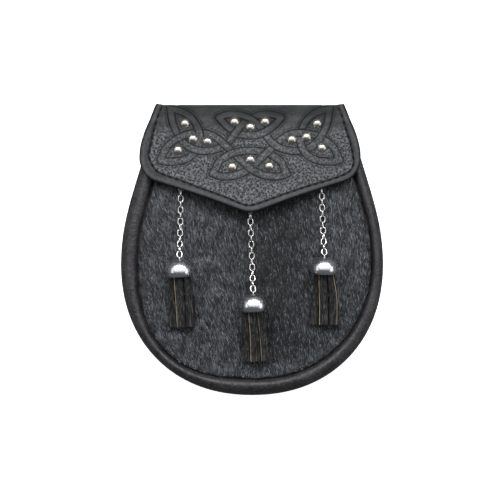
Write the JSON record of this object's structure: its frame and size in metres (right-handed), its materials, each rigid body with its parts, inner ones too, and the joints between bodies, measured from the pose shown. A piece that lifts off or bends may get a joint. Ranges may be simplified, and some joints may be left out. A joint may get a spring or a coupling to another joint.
{
  "type": "sporran pouch",
  "caption": "Teardrop leather day sporran with a hair-on front, an embossed studded flap, chains with metal caps and leather tassels, and belt loops on the back.",
  "frame": {"origin": "on the surface that the pouch lies on, at the middle of its width and height", "axes": "+X to the right seen from the front, +Y from the round bottom to the fold at the top, +Z out of the front, away from the surface"},
  "size_m": [0.18, 0.2, 0.0524],
  "materials": {
    "black_leather": "smooth semi-matt black leather with a fine grain",
    "embossed_leather": "black leather embossed with an interlaced band, satin, with a pitted ground",
    "hair_on_hide": "hide with short dark grey hair lying downwards",
    "nickel": "polished nickel",
    "bright_steel": "bright plated wire",
    "polished_chrome": "mirror-polished chrome plate",
    "tassel_leather": "black leather strips with tan raw edges"
  },
  "bodies": {
    "root": {"back_panel": "black_leather", "belt_loop_left": "black_leather", "belt_loop_right": "black_leather", "chain_centre": "bright_steel", "chain_left": "bright_steel", "chain_right": "bright_steel", "chain_staple_centre": "bright_steel", "chain_staple_left": "bright_steel", "chain_staple_right": "bright_steel", "flap": "embossed_leather", "front_border": "black_leather", "fur_panel": "hair_on_hide", "gusset": "black_leather", "press_stud": "nickel", "stud_01": "nickel", "stud_02": "nickel", "stud_03": "nickel", "stud_04": "nickel", "stud_05": "nickel", "stud_06": "nickel", "stud_07": "nickel", "stud_08": "nickel", "stud_09": "nickel", "stud_10": "nickel", "stud_11": "nickel", "stud_12": "nickel", "stud_13": "nickel", "stud_14": "nickel", "tassel_cap_centre": "polished_chrome", "tassel_cap_left": "polished_chrome", "tassel_cap_right": "polished_chrome", "tassel_centre": "tassel_leather", "tassel_left": "tassel_leather", "tassel_right": "tassel_leather"}
  },
  "joints": []
}
